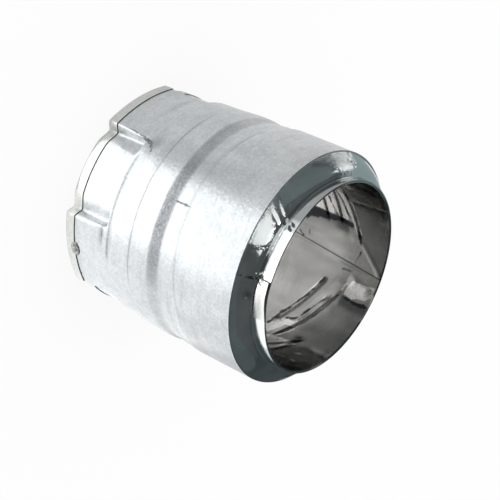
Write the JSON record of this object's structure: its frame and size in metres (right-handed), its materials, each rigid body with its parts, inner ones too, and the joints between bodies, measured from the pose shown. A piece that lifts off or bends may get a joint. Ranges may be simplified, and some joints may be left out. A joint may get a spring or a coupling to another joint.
{
  "type": "pellet vent adapter",
  "caption": "Short double-wall pellet vent adapter: galvanised jacket with a lugged twist end, stainless flue liner, and a domed end with a short collar for the stove outlet.",
  "frame": {"origin": "centre of the lug-end rim, which the adapter stands on", "axes": "+Z along the flue axis, from the lug end towards the stove collar; +X and +Y lie across it, and a lug's middle is 45 degrees from +X"},
  "size_m": [0.0921, 0.0925, 0.0923],
  "materials": {
    "galvanised": "galvanised with a faint spangle",
    "galvanised_ring": "galvanised, a little duller",
    "weld": "dull tack weld",
    "stainless_liner": "bright stainless mill finish",
    "stainless_end": "polished stainless"
  },
  "bodies": {
    "root": {"outer_jacket": "galvanised", "lock_ring": "galvanised_ring", "tack_welds": "weld", "flue_liner": "stainless_liner", "end_collar": "stainless_end"}
  },
  "joints": []
}
